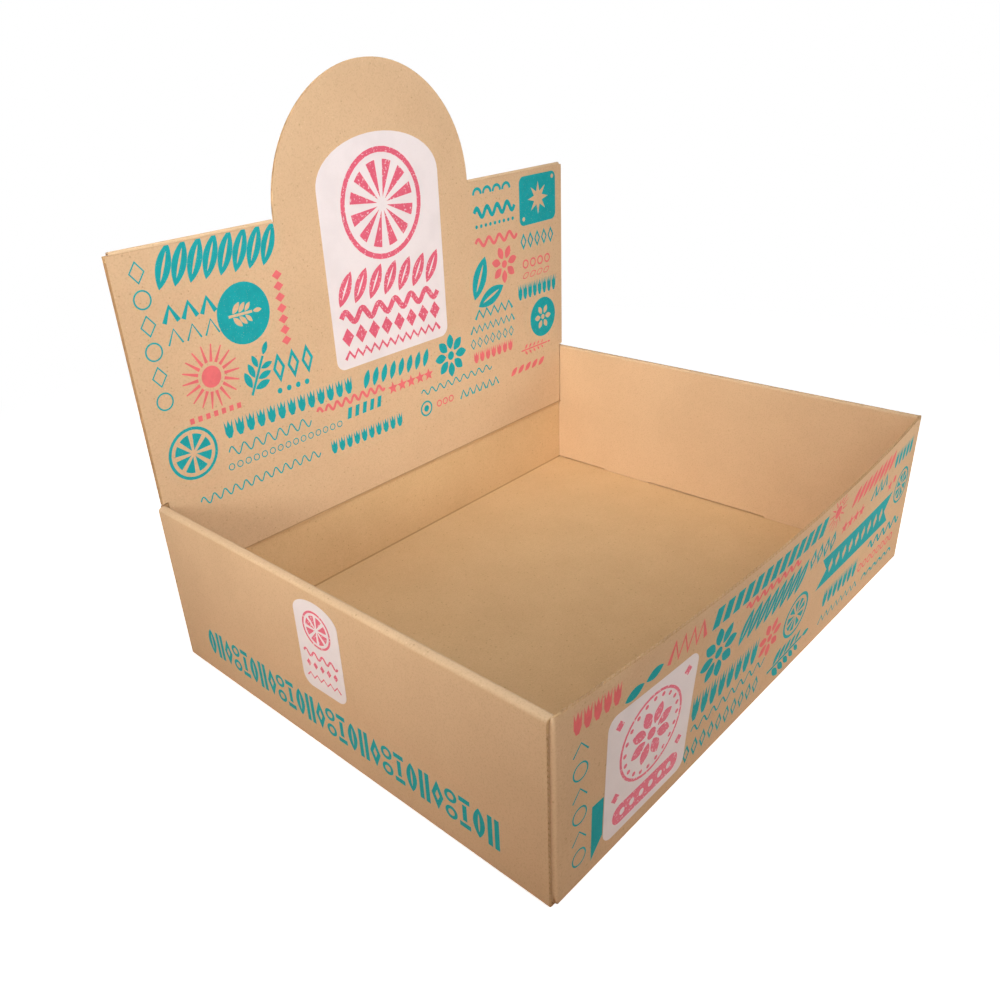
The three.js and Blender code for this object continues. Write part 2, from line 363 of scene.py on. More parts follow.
def material_named(name):
    """A finish of the box, made the first time that a piece asks for it."""
    if name in bpy.data.materials:
        return bpy.data.materials[name]
    scene = bpy.context.scene
    board, ink, label = scene.box_board, scene.box_print, scene.box_label
    makers = {
        "kraftliner_outer": lambda: kraft_paper(name, board.outer_colour, True),
        "kraftliner_inner": lambda: kraft_paper(name, board.inner_colour, True),
        "fluting_cut_edge": lambda: kraft_paper(name, board.edge_colour, False),
        "flexo_ink_teal": lambda: flexo_ink(name, ink.teal),
        "flexo_ink_coral": lambda: flexo_ink(name, ink.coral),
        "label_paper_white": lambda: label_stock(name, label.paper, 0.55, 0.5),
        "label_ink_pink": lambda: label_stock(name, label.pink, 0.5, 0.9, 0.7),
    }
    return makers[name]()


OUTER, INNER, EDGE = 0, 1, 2
BOARD_FINISHES = ("kraftliner_outer", "kraftliner_inner", "fluting_cut_edge")


# Corrugated board with open flutes

def flute_section():
    """Half a flute's open space, from the liner to the wave of the fluting paper, centred on the board."""
    board = bpy.context.scene.box_board
    half_width = 0.39 * board.flute_pitch
    fluting = 0.26 * MM
    top = BOARD / 2 - board.liner
    depth = 2 * top - fluting
    steps = 6
    wave = []
    for i in range(steps + 1):
        across = -half_width + 2 * half_width * i / steps
        fall = depth * math.cos(math.pi / 2 * across / half_width) ** 1.3 if 0 < i < steps else 0
        wave.append((across, -top + fall))
    return wave


def channel_prototype():
    """One open flute, one metre long, below its own origin; its length is scaled where it is used."""
    bm = bmesh.new()
    section = flute_section()
    low = [bm.verts.new((x, y, -1)) for x, y in section]
    high = [bm.verts.new((x, y, 0)) for x, y in section]
    bm.faces.new(low)
    bm.faces.new(list(reversed(high)))
    for i in range(len(section)):
        j = (i + 1) % len(section)
        bm.faces.new((low[i], high[i], high[j], low[j]))
    bmesh.ops.recalc_face_normals(bm, faces=bm.faces)
    return object_from(bm, "channel")


def flute_tree():
    """Sets an open flute on each point, and one turned round half a pitch on, as the wave goes."""
    tree = bpy.data.node_groups.new("open_flutes", "GeometryNodeTree")
    for name, way, kind in (("Points", "INPUT", "Geometry"), ("Channel", "INPUT", "Object"),
                            ("Flute pitch", "INPUT", "Float"), ("Flutes", "OUTPUT", "Geometry")):
        tree.interface.new_socket(name, in_out=way, socket_type="NodeSocket" + kind)
    entry = node(tree, "NodeGroupInput").outputs
    channel = node(tree, "GeometryNodeObjectInfo", {"Object": entry["Channel"]}).outputs["Geometry"]
    reach, yaw = [
        node(tree, "GeometryNodeInputNamedAttribute", {"Name": name}, data_type="FLOAT").outputs["Attribute"]
        for name in ("reach", "yaw")]
    size = joined(tree, X=1.0, Y=1.0, Z=reach)
    half_pitch = joined(tree, X=maths(tree, "MULTIPLY", entry["Flute pitch"], 0.5))
    shifted = node(tree, "GeometryNodeSetPosition", {"Geometry": entry["Points"], "Offset": half_pitch})
    join = node(tree, "GeometryNodeJoinGeometry")
    for points, turn in ((entry["Points"], 0.0), (shifted.outputs[0], math.pi)):
        euler = joined(tree, Z=maths(tree, "ADD", yaw, turn))
        rotation = node(tree, "FunctionNodeEulerToRotation", {0: euler}).outputs[0]
        placed = node(tree, "GeometryNodeInstanceOnPoints",
                      {"Points": points, "Instance": channel, "Rotation": rotation, "Scale": size})
        tree.links.new(placed.outputs[0], join.inputs[0])
    solid = node(tree, "GeometryNodeRealizeInstances", {0: join.outputs[0]})
    node(tree, "NodeGroupOutput", {0: solid.outputs[0]})
    return tree


def flute_cutter(points, placement=Matrix.Identity(4)):
    """A cutter with an open flute at each (x, y, z, reach, yaw), moved by a placement matrix."""
    mesh = bpy.data.meshes.new("flute_points")
    mesh.from_pydata([point[:3] for point in points], [], [])
    for name, column in (("reach", 3), ("yaw", 4)):
        attribute = mesh.attributes.new(name, "FLOAT", "POINT")
        attribute.data.foreach_set("value", [point[column] for point in points])
    cutter = new_object("flute_cutter", mesh)
    channel = channel_prototype()
    tree = flute_tree()
    modifier = cutter.modifiers.new("flutes", "NODES")
    modifier.node_group = tree
    inputs = {item.name: item.identifier for item in tree.interface.items_tree if item.in_out == "INPUT"}
    modifier[inputs["Channel"]] = channel
    modifier[inputs["Flute pitch"]] = bpy.context.scene.box_board.flute_pitch
    solid = evaluated_mesh(cutter, "flute_cutter")
    solid.transform(placement)
    if placement.determinant() < 0:
        solid.flip_normals()
    discard(cutter, channel)
    bpy.data.node_groups.remove(tree)
    return new_object("flute_cutter", solid)


def flute_places(low, high):
    """Where flutes stand between two places along the board, whole pitches from its middle."""
    pitch = bpy.context.scene.box_board.flute_pitch
    first = math.ceil((low + pitch / 2) / pitch)
    last = math.floor((high - pitch) / pitch)
    return [i * pitch for i in range(first, last + 1)]


def groove(x, z_low, z_high, y):
    """The shallow groove that a cut along the flutes leaves between the two liners."""
    width = BOARD - 2.6 * bpy.context.scene.box_board.liner
    depth = 0.5 * MM
    bm = bmesh.new()
    bmesh.ops.create_cube(bm, size=1)
    bm.transform(Matrix.Translation((x, y, (z_low + z_high) / 2))
                 @ Matrix.Diagonal((2 * depth, width, z_high - z_low, 1)))
    return object_from(bm, "groove")


def copied_board(name, source):
    """A copy of a solid's mesh with its corners joined."""
    bm = bmesh.new()
    bm.from_mesh(frame["nodes"][source].data)
    bmesh.ops.remove_doubles(bm, verts=bm.verts, dist=0.001 * MM)
    return object_from(bm, name)


def cut_away(obj, cutters):
    for cutter in cutters:
        modifier = obj.modifiers.new("open_edge", "BOOLEAN")
        modifier.operation = "DIFFERENCE"
        modifier.solver = "MANIFOLD"
        modifier.object = cutter
    mesh = evaluated_mesh(obj, obj.name)
    obj.modifiers.clear()
    obj.data = mesh
    discard(*cutters)


def finish_faces(obj, choose):
    """Gives each face its liner or cut edge, and smooths the bends but not the edges."""
    mesh = obj.data
    mesh.materials.clear()
    for finish in BOARD_FINISHES:
        mesh.materials.append(material_named(finish))
    for face in mesh.polygons:
        face.material_index = choose(face)
    smooth_bends(mesh)
    modifier = obj.modifiers.new("weighted", "WEIGHTED_NORMAL")
    modifier.keep_sharp = True
    obj.data = evaluated_mesh(obj, obj.name)
    obj.modifiers.clear()


def panel_faces(outer_side, front, back):
    """Chooses a flat panel's finishes; outer_side is -1 where the printed face looks forward."""
    skin = 0.02 * MM

    def choose(face):
        if face.center.y < front + skin:
            return OUTER if outer_side < 0 else INNER
        if face.center.y > back - skin:
            return INNER if outer_side < 0 else OUTER
        return EDGE

    return choose


def bow_at(x, z):
    """How far the front wall bulges forward at a place on it."""
    across = max(0.0, 1 - (x / BOW_HALF) ** 2)
    up = max(0.0, (z - BOW_FOOT) / (WALL_TOP - BOW_FOOT))
    return FRONT_BOW * across * up ** BOW_POWER


def tray_faces(face):
    """Chooses the tray's finishes: the inside of base and end walls is the inner liner, and the
    rolled side walls show the outer liner all the way over."""
    centre, normal = face.center, face.normal
    level, steep = 0.9, 0.7
    past_inside = abs(centre.x) - (TRAY_HIGH.x - ROLLED_WALL)
    end_y = abs(centre.y - MIDDLE_Y)
    if abs(normal.y) > level and abs(end_y - SIDE_END) < 0.3 * MM and past_inside > 0:
        return EDGE
    if past_inside > -0.05 * MM:
        return OUTER
    if normal.z > level:
        return EDGE if centre.z > WALL_TOP / 2 else INNER
    if normal.y < -steep and centre.y > 0.1:
        return INNER
    if normal.y > steep and centre.y < 0:
        return INNER
    return OUTER


class BOX_OT_tray(bpy.types.Operator):
    """Finish the folded tray, with open flutes along its cut edges"""
    bl_idname = "box.tray"
    bl_label = "Folded tray"

    def execute(self, context):
        cut = context.scene.box_board.flute_depth + LEAD
        tray = copied_board("tray_board", "tray")
        rim = []
        rim_end = BOW_HALF - 3 * MM
        for x in flute_places(-rim_end, rim_end):
            slope = 2 * FRONT_BOW * x / BOW_HALF ** 2
            y = FRONT_Y + BOARD / 2 - bow_at(x, WALL_TOP)
            rim.append((x, y, WALL_TOP + LEAD, cut, math.atan(slope)))
        rim_cutter = flute_cutter(rim)
        for vert in rim_cutter.data.vertices:
            # Each flute leans with the wall
            vert.co.y += bow_at(vert.co.x, WALL_TOP) - bow_at(vert.co.x, vert.co.z)
        cutters = [rim_cutter]
        foot, head = 4 * MM, WALL_TOP - 5 * MM
        standing = [(z, 0, 0, cut, 0) for z in flute_places(foot, head)]
        for side in (-1, 1):
            for end in (-1, 1):
                x = side * (TRAY_HIGH.x - BOARD / 2)
                y = MIDDLE_Y + end * (SIDE_END + LEAD)
                placement = Matrix(((0, side, 0, x), (0, 0, end, y), (1, 0, 0, 0), (0, 0, 0, 1)))
                cutters.append(flute_cutter(standing, placement))
        cut_away(tray, cutters)
        finish_faces(tray, tray_faces)
        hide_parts("tray")
        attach(tray, "tray")
        return {"FINISHED"}


def arch_flutes(radius, up, y):
    """Flutes that open along the arch: up is 1 on the header, and -1 in the window below the crease."""
    board = bpy.context.scene.box_board
    half = board.flute_pitch / 2
    corner = 1 * MM
    points = []
    for x in flute_places(-radius + corner, radius):
        # The arch's height at both ends and at the middle of a flute and its turned neighbour
        heights = [math.sqrt(max(0.0, radius ** 2 - min(radius, abs(x + dx)) ** 2))
                   for dx in (-half * 0.8, 0, half * 1.8)]
        low, high = min(heights), max(heights)
        top = CREASE_Z + (high if up > 0 else -low) + LEAD
        points.append((x, y, top, high - low + LEAD + board.flute_depth, 0))
    return points


class BOX_OT_lid(bpy.types.Operator):
    """Finish the lid's three panels, with open flutes along their cut edges"""
    bl_idname = "box.lid"
    bl_label = "Lid panels"

    def execute(self, context):
        depth = context.scene.box_board.flute_depth
        margin = 4 * MM
        plans = (
            ("header_panel", HEADER_LOW, HEADER_HIGH, -1, CREASE_Z),
            ("lid_panel", LID_LOW, LID_HIGH, 1, LID_HIGH.z),
            ("tuck_flap", TUCK_LOW, TUCK_HIGH, -1, TUCK_HIGH.z),
        )
        for name, low, high, outer_side, top in plans:
            panel = copied_board(name + "_board", name)
            y = (low.y + high.y) / 2
            if name == "header_panel":
                flutes = arch_flutes(ARCH_RADIUS, 1, y)
            elif name == "lid_panel":
                flutes = arch_flutes(ARCH_RADIUS + 1 * MM, -1, y)
            else:
                flutes = [(x, y, low.z + depth, depth + LEAD, 0)
                          for x in flute_places(-high.x + margin, high.x - margin)]
            cutters = [groove(side * high.x, low.z + margin, top - margin, y) for side in (-1, 1)]
            cut_away(panel, [*cutters, flute_cutter(flutes)])
            finish_faces(panel, panel_faces(outer_side, low.y, high.y))
            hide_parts(name)
            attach(panel, name)
        return {"FINISHED"}


# Folds that carry the liner from one panel to the next

def strip_mesh(name, x_low, x_high, path, thickness):
    """A strip of liner across a fold: path is its outer face in (y, z), with the way it faces."""
    bm = bmesh.new()
    rows = []
    for y, z, out_y, out_z in path:
        row = []
        for depth in (0, thickness):
            for x in (x_low, x_high):
                row.append(bm.verts.new((x, y - out_y * depth, z - out_z * depth)))
        rows.append(row)
    for a, b in zip(rows, rows[1:]):
        bm.faces.new((a[0], a[1], b[1], b[0]))
        bm.faces.new((a[2], b[2], b[3], a[3]))
        bm.faces.new((a[0], b[0], b[2], a[2]))
        bm.faces.new((a[1], a[3], b[3], b[1]))
    bm.faces.new((rows[0][0], rows[0][2], rows[0][3], rows[0][1]))
    bm.faces.new((rows[-1][0], rows[-1][1], rows[-1][3], rows[-1][2]))
    bmesh.ops.recalc_face_normals(bm, faces=bm.faces)
    return mesh_from(bm, name)


def fold_piece(name, mesh):
    strip = new_object(name, mesh)
    mesh.materials.append(material_named("kraftliner_outer"))
    smooth_bends(mesh)
    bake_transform(strip)


class BOX_OT_folds(bpy.types.Operator):
    """Carry the outer liner over the lid's three creases"""
    bl_idname = "box.folds"
    bl_label = "Lid folds"

    def execute(self, context):
        proud = 0.03 * MM

        def flat_fold(name, joint, face_y, out, half_width):
            """A strip on an upright face that looks out; out is 1 where the face looks back and -1 where it
            looks forward.
            """
            thickness, reach, steps = 0.12 * MM, 1.6 * MM, 10
            y = face_y + out * proud
            z = JOINT[joint].z
            path = [(y, z - reach + 2 * reach * i / steps, out, 0) for i in range(steps + 1)]
            mesh = strip_mesh(name, -half_width, half_width, path, thickness)
            fold_piece(name, mesh)

        flat_fold("rim_fold", "lid_hinge",
                  LID_HIGH.y, 1, LID_HIGH.x - 1 * MM)
        flat_fold("tuck_fold_liner", "tuck_fold",
                  HEADER_LOW.y, -1, TUCK_HIGH.x)

        axis = JOINT["header_fold"]
        radius = LID_HIGH.y - axis.y + proud
        path = []
        for i in range(17):
            out_y, out_z = math.cos(math.pi * i / 16), math.sin(math.pi * i / 16)
            path.append((axis.y + radius * out_y, axis.z + radius * out_z, out_y, out_z))
        for side, name in ((-1, "shoulder_fold_left"), (1, "shoulder_fold_right")):
            # The liner stops short of the side walls, which it would touch with the lid shut
            ends = sorted((side * (ARCH_RADIUS + 1.2 * MM), side * (HEADER_HIGH.x - 2.5 * MM)))
            mesh = strip_mesh(name, *ends, path, 0.5 * MM)
            fold_piece(name, mesh)
        return {"FINISHED"}


# Shapes for print, in millimetres: each is a list of (outline, holes)

def arc(cx, cy, radius, start, end, steps):
    """Points along an arc from one angle to another, in radians."""
    angles = [start + (end - start) * i / steps for i in range(steps + 1)]
    return [(cx + radius * math.cos(angle), cy + radius * math.sin(angle)) for angle in angles]


def circle(cx, cy, radius):
    return arc(cx, cy, radius, 0, math.tau, 36)[:-1]


def disc(cx, cy, radius, holes=()):
    return [(circle(cx, cy, radius), list(holes))]


def ring(cx, cy, radius, width):
    return disc(cx, cy, radius, [circle(cx, cy, radius - width)])


def turned(points, cx, cy, degrees):
    c, s = math.cos(math.radians(degrees)), math.sin(math.radians(degrees))
    return [(cx + x * c - y * s, cy + x * s + y * c) for x, y in points]


def star(cx, cy, radius, inner, count):
    outline = []
    for i in range(2 * count):
        r = radius if i % 2 == 0 else inner
        angle = math.pi * i / count + math.pi / 2
        outline.append((cx + r * math.cos(angle), cy + r * math.sin(angle)))
    return [(outline, [])]


def lens(length, width):
    """A pointed leaf outline that starts at its stalk."""
    steps = 10
    upper = [(length * i / steps, width / 2 * math.sin(math.pi * i / steps) ** 0.8) for i in range(steps + 1)]
    lower = [(x, -y) for x, y in reversed(upper[1:-1])]
    return list(reversed(upper + lower))


def leaf(x, y, length, width, degrees, veined=False):
    holes = []
    if veined:
        rib = [(length * 0.18 + px * 0.64, py * 0.16) for px, py in lens(length, width)]
        holes.append(turned(rib, x, y, degrees))
    return [(turned(lens(length, width), x, y, degrees), holes)]


def leaf_line(x, y, length, width, degrees, line):
    """A leaf drawn as an outline only."""
    shorter, thinner = 1 - 3.2 * line / length, 1 - 2 * line / width
    inner = [(line * 1.6 + px * shorter, py * thinner) for px, py in lens(length, width)]
    return [(turned(lens(length, width), x, y, degrees), [turned(inner, x, y, degrees)])]


def stroke(points, width):
    """A line of even width through some points."""
    left, right = [], []
    for i, (x, y) in enumerate(points):
        ax, ay = points[max(0, i - 1)]
        bx, by = points[min(len(points) - 1, i + 1)]
        length = math.hypot(bx - ax, by - ay)
        nx, ny = -(by - ay) / length, (bx - ax) / length
        left.append((x + nx * width / 2, y + ny * width / 2))
        right.append((x - nx * width / 2, y - ny * width / 2))
    return [(right + left[::-1], [])]


def wave(x, y, length, height, period, width):
    count = max(8, round(length / period * 12))
    line = []
    for i in range(count + 1):
        across = length * i / count
        line.append((x + across, y + height / 2 * math.sin(math.tau * across / period)))
    return stroke(line, width)


def zigzag(x, y, length, height, period, width):
    count = round(2 * length / period)
    line = [(x + length * i / count, y + (height / 2 if i % 2 else -height / 2)) for i in range(count + 1)]
    return stroke(line, width)


def bar(x, y, width, height, slant=0):
    return [([(x, y), (x + width, y), (x + width + slant, y + height), (x + slant, y + height)], [])]


def lozenge(cx, cy, width, height):
    return [([(cx - width / 2, cy), (cx, cy - height / 2), (cx + width / 2, cy), (cx, cy + height / 2)], [])]


def lozenge_line(cx, cy, width, height, line):
    inner = 1 - 2.6 * line / min(width, height)
    return [(lozenge(cx, cy, width, height)[0][0], outlines(lozenge(cx, cy, width * inner, height * inner)))]


def chevron(x, y, width, height, line):
    return stroke([(x, y), (x + width / 2, y + height), (x + width, y)], line)


def scallop(cx, cy, radius, line):
    return stroke(arc(cx, cy, radius, 0, math.pi, 12), line)


def tulip(x, y, width, height):
    """A bold flower head with three points."""
    outline = [(0.3, 0), (0.7, 0), (1, 0.3), (1, 1), (0.75, 0.62), (0.5, 1), (0.25, 0.62), (0, 1), (0, 0.3)]
    return [([(x + width * u, y + height * v) for u, v in outline], [])]


def citrus(cx, cy, radius, segments, line):
    """A cut fruit: a thin rind and its segments."""
    shapes = ring(cx, cy, radius, line)
    gap = math.radians(7)
    for i in range(segments):
        start = math.tau * i / segments + gap
        end = math.tau * (i + 1) / segments - gap
        tip = arc(cx, cy, radius * 0.12, (start + end) / 2, end, 1)[:1]
        shapes.append((tip + arc(cx, cy, radius - 2.2 * line, start, end, 6), []))
    return shapes


def sunburst(cx, cy, radius, rays):
    shapes = disc(cx, cy, radius * 0.34)
    foot, foot_half, tip_half = radius * 0.46, radius * 0.055, radius * 0.02
    for i in range(rays):
        ray = [(foot, -foot_half), (radius, -tip_half), (radius, tip_half), (foot, foot_half)]
        shapes.append((turned(ray, cx, cy, 360 * i / rays), []))
    return shapes


def sprig(x, y, length, degrees, pairs, leaf_length, line):
    """A stem with leaves in pairs and one at the tip."""
    shapes = stroke(turned([(0, 0), (length * 0.5, 0), (length, 0)], x, y, degrees), line)
    for i in range(pairs):
        along = length * (0.12 + 0.8 * i / pairs)
        size = leaf_length * (1 - 0.35 * i / pairs)
        for side in (-1, 1):
            foot = turned([(along + size * 0.12, side * (line * 0.5 + 0.35))], x, y, degrees)[0]
            shapes += leaf(*foot, size, size * 0.42, degrees + side * 48)
    tip = turned([(length + 0.6, 0)], x, y, degrees)[0]
    return shapes + leaf(*tip, leaf_length * 0.75, leaf_length * 0.32, degrees)


def flower(cx, cy, radius, petals, degrees=0):
    shapes = disc(cx, cy, radius * 0.2)
    for i in range(petals):
        angle = degrees + 360 * i / petals
        foot = turned([(radius * 0.3, 0)], cx, cy, angle)[0]
        shapes += leaf(*foot, radius * 0.7, radius * 0.42, angle)
    return shapes


def rounded(x, y, width, height, radius, holes=()):
    points = []
    right, top = x + width - radius, y + height - radius
    for cx, cy, start in ((right, y + radius, -90), (right, top, 0), (x + radius, top, 90),
                          (x + radius, y + radius, 180)):
        points += arc(cx, cy, radius, math.radians(start), math.radians(start + 90), 6)
    return [(points, list(holes))]


def pennant(x, y, width, height, notch, holes=()):
    outline = [(x, y), (x + width, y), (x + width - notch, y + height / 2), (x + width, y + height),
               (x, y + height), (x + notch, y + height / 2)]
    return [(outline, list(holes))]


def outlines(shapes):
    """The outlines of some shapes, to be left bare inside another."""
    return [outline for outline, holes in shapes]


def row(low, high, pitch, shape, *rest):
    """Copies of a shape side by side, from one place across to another."""
    shapes = []
    for i in range(math.floor((high - low) / pitch) + 1):
        shapes += shape(low + i * pitch, *rest)
    return shapes


def column(count, pitch, shape, x, y, *rest):
    """Copies of a shape one above the other."""
    shapes = []
    for i in range(count):
        shapes += shape(x, y + i * pitch, *rest)
    return shapes


# Print meshes

def signed_area(loop):
    return sum(a[0] * b[1] - b[0] * a[1] for a, b in zip(loop, loop[1:] + loop[:1])) / 2


def sliced(bm, point, normal, clear=False):
    """Cuts a mesh along a plane, and clears what lies past it if asked."""
    return bmesh.ops.bisect_plane(bm, geom=bm.verts[:] + bm.edges[:] + bm.faces[:], plane_co=point,
                                  plane_no=normal, clear_outer=clear)


def print_mesh(name, shapes, place, ink, cell=None, clip=None):
    """Thin closed ink shapes, that stand on the paper as far as they go into it. place turns
    (across, up, out) in metres into the row frame, cell divides them finely enough to follow a
    curved wall, and clip cuts them off above a height."""
    bm = bmesh.new()
    for outline, holes in shapes:
        loops = [outline if signed_area(outline) > 0 else outline[::-1]]
        loops += [hole[::-1] if signed_area(hole) > 0 else hole for hole in holes]
        flat = [[Vector((x * MM, y * MM, 0)) for x, y in loop] for loop in loops]
        points = [point for loop in flat for point in loop]
        high = [bm.verts.new((p.x, p.y, ink)) for p in points]
        low = [bm.verts.new((p.x, p.y, -ink)) for p in points]
        for a, b, c in tessellate_polygon(flat):
            area = (points[b] - points[a]).cross(points[c] - points[a]).z
            if abs(area) < 1e-14:
                continue
            order = (a, b, c) if area > 0 else (a, c, b)
            bm.faces.new([high[i] for i in order])
            bm.faces.new([low[i] for i in reversed(order)])
        start = 0
        for loop in flat:
            for i in range(len(loop)):
                j = (i + 1) % len(loop)
                bm.faces.new((low[start + i], low[start + j], high[start + j], high[start + i]))
            start += len(loop)
    if clip is not None:
        cut = sliced(bm, (0, clip, 0), (0, 1, 0), True)
        edges = [item for item in cut["geom_cut"] if isinstance(item, bmesh.types.BMEdge)]
        bmesh.ops.holes_fill(bm, edges=edges)
    if cell is not None:
        for axis in (0, 1):
            values = [v.co[axis] for v in bm.verts]
            normal = Vector((1 - axis, axis, 0))
            for step in range(math.ceil(min(values) / cell), math.ceil(max(values) / cell)):
                sliced(bm, normal * (step * cell), normal)
    for vert in bm.verts:
        vert.co = place(*vert.co)
    return mesh_from(bm, name)


def print_piece(name, shapes, place, body, finish, cell=None, clip=None):
    mesh = print_mesh(name, shapes, place, bpy.context.scene.box_print.ink_height, cell, clip)
    mesh.materials.append(material_named(finish))
    piece = new_object(name, mesh)
    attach(piece, body)


def on_flat_front(y):
    """Places print on an upright face that looks forward."""
    return lambda u, v, w: (u, y - w, v)


def on_bowed_front(proud):
    """Places print on the bulging front wall, or on a label that stands proud of it."""
    return lambda u, v, w: (u, FRONT_Y - bow_at(u, v) - proud - w, v)


def on_left(x):
    """Places print on an upright face that looks left."""
    return lambda u, v, w: (x - w, MIDDLE_Y - u, v)


def header_teal():
    return [
        # Left block, cut off by the shoulder crease
        *row(-170, -96, 10.2, leaf, 235, 27, 9.5, 66, True),
        *column(3, 30, ring, -181, 172, 5.6, 1.0),
        *column(3, 30, lozenge_line, -181, 187, 10, 13, 0.8),
        *disc(-118, 210, 19, outlines(sprig(-129, 210, 17, 0, 3, 8.5, 1.6))),
        *row(-171, -145, 12.4, chevron, 216, 9.4, 9, 3.0),
        *row(-171, -145, 12.4, chevron, 203, 9.4, 9, 1.2),
        *sprig(-122, 158, 26, 62, 3, 12, 1.8),
        *row(-99, -76, 11.5, lozenge_line, 170, 9.6, 20, 1.7),
        *row(-101, -72, 7.4, disc, 155, 1.9),
        # Right block
        *row(96, 134, 10.9, scallop, 249, 4.2, 2.2),
        *rounded(144, 218, 45, 37, 5,
                 outlines(star(167, 237, 12.5, 5.2, 8) + disc(149, 223, 1.6) + disc(185, 251, 1.6))),
        *wave(92, 236, 46, 7, 11.5, 3.2),
        *row(94, 138, 5.2, disc, 226, 1.4),
        *leaf(88, 172, 34, 15, 66, True),
        *leaf(92, 166, 32, 13, 20, True),
        *row(148, 186, 8.6, lozenge_line, 206, 7.4, 13, 1.2),
        *row(140, 184, 6.2, tulip, 160, 5.0, 13),
        *zigzag(88, 160, 44, 6.5, 8.8, 2.2),
        # Band over the whole width
        *citrus(-170, 135, 17, 8, 2.0),
        *row(-146, -40, 8.2, tulip, 136, 6.0, 12),
        *wave(-146, 127, 66, 6.5, 9.4, 1.0),
        *row(-146, -56, 6.4, ring, 117, 2.4, 0.7),
        *row(-30, 32, 8.4, leaf, 135, 14, 5.4, 70),
        *row(-49, -16, 7.0, bar, 118, 3.6, 8, 1.8),
        *flower(58, 136, 17, 8),
        *zigzag(82, 149, 52, 5.5, 6.5, 1.8),
        *row(84, 132, 7.6, lozenge_line, 138, 6.4, 9, 0.8),
        *disc(171, 140, 16.5, outlines(flower(171, 140, 10.5, 6))),
        *wave(24, 115, 80, 4.6, 8.9, 1.1),
    ]


def header_coral():
    return [
        *column(7, 6.944, lozenge, -90, 186, 7.6, 6.2),
        *sunburst(-148, 178, 20, 18),
        *row(-168, -130, 5.6, bar, 153, 3.0, 3.6),
        *flower(124, 193, 15, 7, 12),
        *wave(92, 214, 48, 5.6, 12, 2.6),
        *row(150, 186, 9.2, ring, 188, 3.7, 1.3),
        *row(146, 178, 8.8, leaf_line, 177, 8.8, 4.6, 24, 0.7),
        *wave(-74, 131.5, 62, 4.6, 7.8, 2.0),
        *row(-4, 34, 9.2, star, 128, 5.0, 2.2, 5),
        *row(84, 132, 6.9, tulip, 122, 5.2, 9.5),
        *sprig(142, 117, 34, 0, 5, 5, 1.2),
    ]


def tuck_teal():
    return [
        *wave(-172, 102, 96, 5.4, 8, 1.0),
        *row(-66, 2, 7.0, tulip, 97, 5.2, 10.5),
        *row(66, 112, 7.8, chevron, 98, 6.8, 6.4, 1.6),
        *ring(28, 102, 6.2, 1.4),
        *disc(28, 102, 2.6),
    ]


def tuck_coral():
    return row(128, 172, 9, leaf, 99, 10, 4.6, 38) + row(42, 58, 6.6, ring, 102, 2.8, 1.0)


def front_teal():
    return [
        # Left of the label and behind its edge
        *column(3, 26, ring, -181, 18, 5.2, 0.9),
        *column(3, 26, chevron, -186, 28, 10, 6, 0.9),
        ([(-172, 8), (-163.4, 18), (-163.4, 42), (-172, 42)], []),
        # Upper rows
        *row(-84, 30, 9.4, bar, 91, 6.4, 12, 2.4),
        *leaf(-152, 89, 14, 6.4, 14),
        *leaf(-137, 92, 13, 6, 14),
        *flower(-72, 71, 17, 8, 10),
        *row(-50, 14, 9.0, leaf, 62, 22, 8, 64, True),
        *row(30, 58, 8.8, lozenge_line, 77.5, 7.8, 15, 1.5),
        # Middle rows
        *row(-90, -24, 8.6, tulip, 36, 6.4, 17),
        *pennant(48, 46, 112, 22, 10, outlines(row(64, 144, 10, lozenge, 57, 5.6, 11))),
        *citrus(24, 42, 15, 9, 2.0),
        *row(114, 136, 9.6, chevron, 80, 8, 9, 2.6),
        *row(150, 182, 7.4, tulip, 88, 5.4, 12),
        *citrus(177, 66, 13, 8, 1.6),
        # Lower rows
        *wave(-88, 29, 78, 5.4, 9.6, 1.2),
        *row(-90, -16, 8.2, lozenge_line, 15, 6.8, 13, 1.1),
        *sprig(-2, 14, 44, 3, 5, 12, 1.8),
        *row(66, 112, 7.4, tulip, 24, 5.6, 14),
        *zigzag(66, 14, 58, 5.4, 7.2, 1.5),
        *wave(132, 38, 54, 6, 10.8, 2.2),
        *row(136, 184, 8.6, scallop, 12, 3.3, 1.6),
    ]


def front_coral():
    return [
        *row(-186, -158, 6.4, tulip, 92, 5.0, 12),
        *zigzag(-120, 97, 30, 11, 7.5, 3.0),
        *wave(-50, 86.7, 60, 3.8, 7.5, 2.0),
        *sunburst(52, 99, 12, 14),
        *row(76, 138, 8.8, leaf, 91, 15, 6, 56),
        *row(72, 104, 8.8, star, 80, 4.8, 2.1, 5),
        *flower(-9, 44, 13, 7, 15),
        *row(124, 184, 7.6, ring, 26, 3.2, 1.1),
        *disc(158, 78, 2.6),
        *star(150, 76, 4.4, 1.9, 5),
    ]


def side_band():
    """A border along the side wall: bold upright shapes in turn, as closely set as lettering."""
    shapes = []
    foot, height, pitch = 15, 19, 9.1
    for i in range(27):
        x = -118.3 + pitch * i
        turn = (
            leaf(x, foot, height, 7.6, 90, True),
            bar(x - 3.6, foot, 2.9, height) + bar(x + 0.7, foot, 2.9, height),
            lozenge_line(x, foot + height / 2, 8.2, height, 2.0),
            ring(x, 29.8, 4.1, 2.0) + ring(x, 19.2, 4.1, 2.0),
            bar(x - 3.6, foot, 7.2, 3) + bar(x - 1.4, 19.4, 2.8, 10.2) + bar(x - 3.6, 31, 7.2, 3),
        )
        shapes += turn[i % len(turn)]
    return shapes


